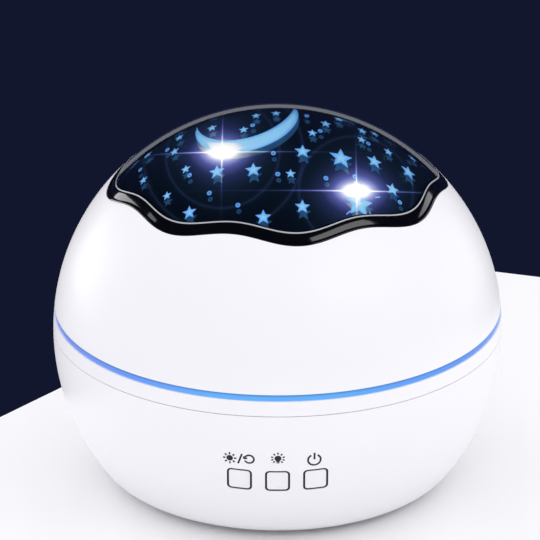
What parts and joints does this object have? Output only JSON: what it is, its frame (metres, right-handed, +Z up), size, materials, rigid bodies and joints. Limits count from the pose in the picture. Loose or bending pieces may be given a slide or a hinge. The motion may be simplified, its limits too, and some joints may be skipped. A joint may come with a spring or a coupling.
{
  "type": "star night light projector",
  "caption": "Ball-shaped star night light with a turning star dome under a clear window, a blue light ring and push buttons.",
  "frame": {"origin": "on the floor, under the centre of the ball-shaped body, between the undersides of the feet", "axes": "+Z up along the axis that the star dome turns on, -Y the front with the buttons, +X to the right seen from the front"},
  "size_m": [0.13, 0.13, 0.1084],
  "materials": {
    "white_shell": "smooth satin white ABS",
    "white_button": "satin white ABS",
    "black_bezel": "polished black ABS",
    "clear_window": "clear polished polycarbonate",
    "black_film": "glossy black print on film",
    "blue_film": "translucent dome lit blue from inside",
    "light_ring": "frosted light guide, lit blue",
    "inner_white": "moulded white ABS",
    "natural_acetal": "natural acetal",
    "plated_steel": "zinc-plated steel",
    "black_steel": "black oxide steel",
    "green_board": "green solder mask",
    "white_board": "white solder mask",
    "led_yellow": "yellow phosphor in a small white case",
    "clear_lens": "clear acrylic",
    "black_moulding": "moulded black nylon",
    "connector_white": "moulded nylon",
    "foot_rubber": "soft black rubber",
    "wire_jacket": "grey wire jacket"
  },
  "bodies": {
    "root": {"lower_shell": "white_shell", "middle_band": "white_shell", "light_ring": "light_ring", "gear_motor": "plated_steel", "motor_screws": "black_steel", "lamp_post": "inner_white", "lamp_post_screws": "black_steel", "lamp_board": "white_board", "lamp_board_screws": "plated_steel", "lamp_leds": "led_yellow", "lamp_lenses": "clear_lens", "ring_led_board": "green_board", "ring_leds": "led_yellow", "main_board": "green_board", "board_parts": "connector_white", "main_board_screws": "plated_steel", "usb_socket": "plated_steel", "socket_tongue": "black_moulding", "button_board": "green_board", "button_board_screws": "plated_steel", "tact_switches": "black_moulding", "case_screws": "black_steel", "rubber_feet": "foot_rubber", "lamp_harness": "wire_jacket", "button_harness": "wire_jacket", "motor_harness": "wire_jacket", "ring_harness": "wire_jacket"},
    "cover": {"upper_shell": "white_shell", "bezel": "black_bezel", "dome_window": "clear_window"},
    "star_turntable": {"turntable": "inner_white", "star_mask": "black_film", "film_dome": "blue_film"},
    "motor_drive": {"drive_pinion": "natural_acetal", "motor_shaft": "plated_steel"},
    "mode_key": {"mode_button": "white_button"},
    "lamp_key": {"lamp_button": "white_button"},
    "power_key": {"power_button": "white_button"}
  },
  "joints": [
    {"name": "cover_lift", "type": "slide", "parent": "root", "child": "cover", "axis": [0, 0, 1], "range_m": [0, 0.08]},
    {"name": "dome_turn", "type": "hinge", "parent": "root", "child": "star_turntable", "pos_m": [0, 0, 0.052], "axis": [0, 0, 1], "continuous": true},
    {"name": "pinion_turn", "type": "hinge", "parent": "root", "child": "motor_drive", "pos_m": [-0.036, 0, 0.05], "axis": [0, 0, 1], "continuous": true},
    {"name": "mode_press", "type": "slide", "parent": "root", "child": "mode_key", "axis": [0, 0.9542, 0.299], "range_m": [0, 0.0006], "stiffness_N_per_m": 500, "springref_m": -0.0012},
    {"name": "lamp_press", "type": "slide", "parent": "root", "child": "lamp_key", "axis": [0, 0.9542, 0.299], "range_m": [0, 0.0006], "stiffness_N_per_m": 500, "springref_m": -0.0012},
    {"name": "power_press", "type": "slide", "parent": "root", "child": "power_key", "axis": [0, 0.9542, 0.299], "range_m": [0, 0.0006], "stiffness_N_per_m": 500, "springref_m": -0.0012}
  ],
  "couplings": [
    {"joint": "pinion_turn", "follows": "dome_turn", "ratio": 7}
  ]
}
